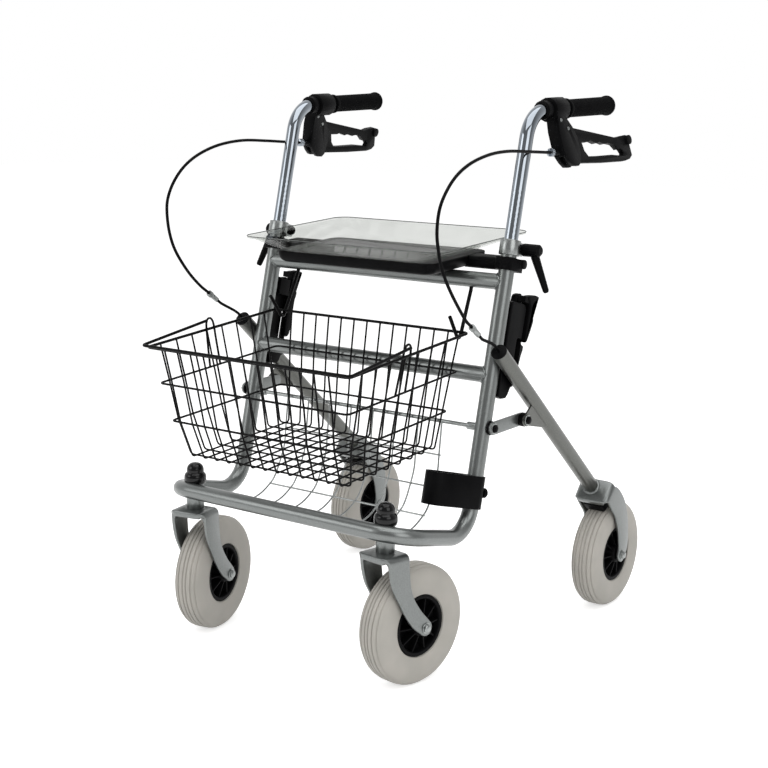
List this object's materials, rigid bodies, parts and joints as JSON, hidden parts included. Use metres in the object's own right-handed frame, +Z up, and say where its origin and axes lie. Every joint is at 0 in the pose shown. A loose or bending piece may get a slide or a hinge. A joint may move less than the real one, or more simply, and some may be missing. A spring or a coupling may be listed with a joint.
{
  "type": "rollator",
  "caption": "Folding walking frame on wheels with height-set handles, hand brakes, a flip-up seat, a clear tray, a wire basket and a cane holder.",
  "frame": {"origin": "on the floor under the middle of the object's box, with all wheels standing on z = 0", "axes": "+Z up, -Y towards the front casters, +X towards the left side of the person who walks behind it at +Y"},
  "size_m": [0.6112, 0.789, 0.8957],
  "materials": {
    "silver_paint": "silver grey metallic powder coat, satin",
    "cast_metal": "cast and painted silver, satin",
    "chrome_plate": "bright chrome plate",
    "zinc_plate": "bright zinc plate",
    "black_plastic": "moulded black plastic, fine grain",
    "black_coating": "black plastic-dipped wire, semi-gloss",
    "grip_rubber": "soft moulded rubber, matte",
    "tyre_grey": "light grey solid tyre, grooved",
    "clear_plastic": "clear moulded plastic, glossy"
  },
  "bodies": {
    "frame": {"front_frame": "silver_paint", "seat_cross_tube": "silver_paint", "mid_cross_tube": "silver_paint", "wire_guard": "zinc_plate", "cane_holder": "black_plastic", "cane_holder_screw": "black_plastic", "caster_cap_left": "black_plastic", "basket_hook_left": "black_coating", "fold_rail_left": "black_plastic", "seat_bracket_left": "black_plastic", "clamp_collar_left": "zinc_plate", "caster_cap_right": "black_plastic", "basket_hook_right": "black_coating", "fold_rail_right": "black_plastic", "seat_bracket_right": "black_plastic", "clamp_collar_right": "zinc_plate"},
    "seat": {"seat_board": "black_plastic"},
    "tray_piece": {"tray": "clear_plastic"},
    "basket": {"wire_basket": "black_coating"},
    "bail": {"basket_handle": "black_coating"},
    "caster_left": {"caster_fork_left": "cast_metal", "caster_wheel_axle_left": "zinc_plate"},
    "caster_wheel_left": {"caster_wheel_tyre_left": "tyre_grey", "caster_wheel_hub_left": "black_plastic"},
    "strut_left": {"fold_strut_left": "cast_metal"},
    "leg_left": {"rear_leg_left": "silver_paint", "leg_cap_left": "black_plastic", "rear_fork_left": "cast_metal", "rear_wheel_axle_left": "zinc_plate", "cable_adjuster_left": "black_plastic"},
    "rear_wheel_left": {"rear_wheel_tyre_left": "tyre_grey", "rear_wheel_hub_left": "black_plastic"},
    "shoe_left": {"brake_shoe_left": "black_plastic"},
    "handle_left": {"handle_post_left": "chrome_plate", "grip_left": "grip_rubber", "brake_housing_left": "black_plastic", "brake_cable_left": "black_plastic"},
    "lever_left": {"brake_lever_left": "black_plastic"},
    "clamp_left": {"clamp_lever_left": "black_plastic"},
    "latch_left": {"latch_lever_left": "black_plastic"},
    "caster_right": {"caster_fork_right": "cast_metal", "caster_wheel_axle_right": "zinc_plate"},
    "caster_wheel_right": {"caster_wheel_tyre_right": "tyre_grey", "caster_wheel_hub_right": "black_plastic"},
    "strut_right": {"fold_strut_right": "cast_metal"},
    "leg_right": {"rear_leg_right": "silver_paint", "leg_cap_right": "black_plastic", "rear_fork_right": "cast_metal", "rear_wheel_axle_right": "zinc_plate", "cable_adjuster_right": "black_plastic"},
    "rear_wheel_right": {"rear_wheel_tyre_right": "tyre_grey", "rear_wheel_hub_right": "black_plastic"},
    "shoe_right": {"brake_shoe_right": "black_plastic"},
    "handle_right": {"handle_post_right": "chrome_plate", "grip_right": "grip_rubber", "brake_housing_right": "black_plastic", "brake_cable_right": "black_plastic"},
    "lever_right": {"brake_lever_right": "black_plastic"},
    "clamp_right": {"clamp_lever_right": "black_plastic"},
    "latch_right": {"latch_lever_right": "black_plastic"}
  },
  "joints": [
    {"name": "seat_flip", "type": "hinge", "parent": "frame", "child": "seat", "pos_m": [0, -0.00178, 0.6326], "axis": [-1, 0, 0], "range_deg": [0, 90]},
    {"name": "tray_lift", "type": "slide", "parent": "seat", "child": "tray_piece", "axis": [0, -0.0698, 0.9976], "range_m": [0, 0.1]},
    {"name": "basket_lift", "type": "slide", "parent": "frame", "child": "basket", "axis": [0, 0, 1], "range_m": [0, 0.04]},
    {"name": "bail_swing", "type": "hinge", "parent": "basket", "child": "bail", "pos_m": [0, -0.24102, 0.524], "axis": [-1, 0, 0], "range_deg": [0, 90]},
    {"name": "caster_swivel_left", "type": "hinge", "parent": "frame", "child": "caster_left", "pos_m": [0.191, -0.28152, 0.2194], "axis": [0, 0, 1], "continuous": true},
    {"name": "caster_spin_left", "type": "hinge", "parent": "caster_left", "child": "caster_wheel_left", "pos_m": [0.20177, -0.22452, 0.095], "axis": [0.9826, -0.1857, 0], "continuous": true},
    {"name": "fold_left", "type": "hinge", "parent": "frame", "child": "strut_left", "pos_m": [0.2502, -0.08377, 0.38329], "axis": [1, 0, 0], "range_deg": [0, 54]},
    {"name": "leg_hinge_left", "type": "hinge", "parent": "strut_left", "child": "leg_left", "pos_m": [0.2594, -0.00052, 0.385], "axis": [1, 0, 0], "range_deg": [-98.5, 0]},
    {"name": "rear_spin_left", "type": "hinge", "parent": "leg_left", "child": "rear_wheel_left", "pos_m": [0.266, 0.29952, 0.095], "axis": [1, 0, 0], "continuous": true},
    {"name": "brake_squeeze_left", "type": "hinge", "parent": "handle_left", "child": "lever_left", "pos_m": [0.249, 0.10598, 0.8413], "axis": [0.9756, -0.0648, 0.2096], "range_deg": [0, 9], "stiffness_Nm_per_rad": 2, "springref_deg": -5.73},
    {"name": "shoe_press_left", "type": "slide", "parent": "leg_left", "child": "shoe_left", "axis": [0, 0.364, -0.9314], "range_m": [0, 0.00152]},
    {"name": "latch_pull_left", "type": "hinge", "parent": "frame", "child": "latch_left", "pos_m": [0.234, -0.0019, 0.52636], "axis": [-1, 0, 0], "range_deg": [0, 12], "stiffness_Nm_per_rad": 0.5, "springref_deg": -5.73},
    {"name": "handle_slide_left", "type": "slide", "parent": "frame", "child": "handle_left", "axis": [0, 0.2224, 0.975], "range_m": [-0.12, 0.05], "deforming": ["brake_cable_left"]},
    {"name": "clamp_turn_left", "type": "hinge", "parent": "frame", "child": "clamp_left", "pos_m": [0.2337, 0.00206, 0.65522], "axis": [1, 0, 0], "range_deg": [-90, 90]},
    {"name": "caster_swivel_right", "type": "hinge", "parent": "frame", "child": "caster_right", "pos_m": [-0.191, -0.28152, 0.2194], "axis": [0, 0, 1], "continuous": true},
    {"name": "caster_spin_right", "type": "hinge", "parent": "caster_right", "child": "caster_wheel_right", "pos_m": [-0.20177, -0.22452, 0.095], "axis": [0.9826, 0.1857, 0], "continuous": true},
    {"name": "fold_right", "type": "hinge", "parent": "frame", "child": "strut_right", "pos_m": [-0.2502, -0.08377, 0.38329], "axis": [1, 0, 0], "range_deg": [0, 54]},
    {"name": "leg_hinge_right", "type": "hinge", "parent": "strut_right", "child": "leg_right", "pos_m": [-0.2594, -0.00052, 0.385], "axis": [1, 0, 0], "range_deg": [-98.5, 0]},
    {"name": "rear_spin_right", "type": "hinge", "parent": "leg_right", "child": "rear_wheel_right", "pos_m": [-0.266, 0.29952, 0.095], "axis": [1, 0, 0], "continuous": true},
    {"name": "brake_squeeze_right", "type": "hinge", "parent": "handle_right", "child": "lever_right", "pos_m": [-0.249, 0.10598, 0.8413], "axis": [0.9756, 0.0648, -0.2096], "range_deg": [0, 9], "stiffness_Nm_per_rad": 2, "springref_deg": -5.73},
    {"name": "shoe_press_right", "type": "slide", "parent": "leg_right", "child": "shoe_right", "axis": [0, 0.364, -0.9314], "range_m": [0, 0.00152]},
    {"name": "latch_pull_right", "type": "hinge", "parent": "frame", "child": "latch_right", "pos_m": [-0.234, -0.0019, 0.52636], "axis": [-1, 0, 0], "range_deg": [0, 12], "stiffness_Nm_per_rad": 0.5, "springref_deg": -5.73},
    {"name": "handle_slide_right", "type": "slide", "parent": "frame", "child": "handle_right", "axis": [0, 0.2224, 0.975], "range_m": [-0.12, 0.05], "deforming": ["brake_cable_right"]},
    {"name": "clamp_turn_right", "type": "hinge", "parent": "frame", "child": "clamp_right", "pos_m": [-0.2337, 0.00206, 0.65522], "axis": [1, 0, 0], "range_deg": [-90, 90]}
  ],
  "couplings": [
    {"joint": "leg_hinge_left", "follows": "fold_left", "ratio": -1.822},
    {"joint": "shoe_press_left", "follows": "brake_squeeze_left", "m_per_rad": 0.009549},
    {"joint": "leg_hinge_right", "follows": "fold_right", "ratio": -1.822},
    {"joint": "shoe_press_right", "follows": "brake_squeeze_right", "m_per_rad": 0.009549}
  ]
}
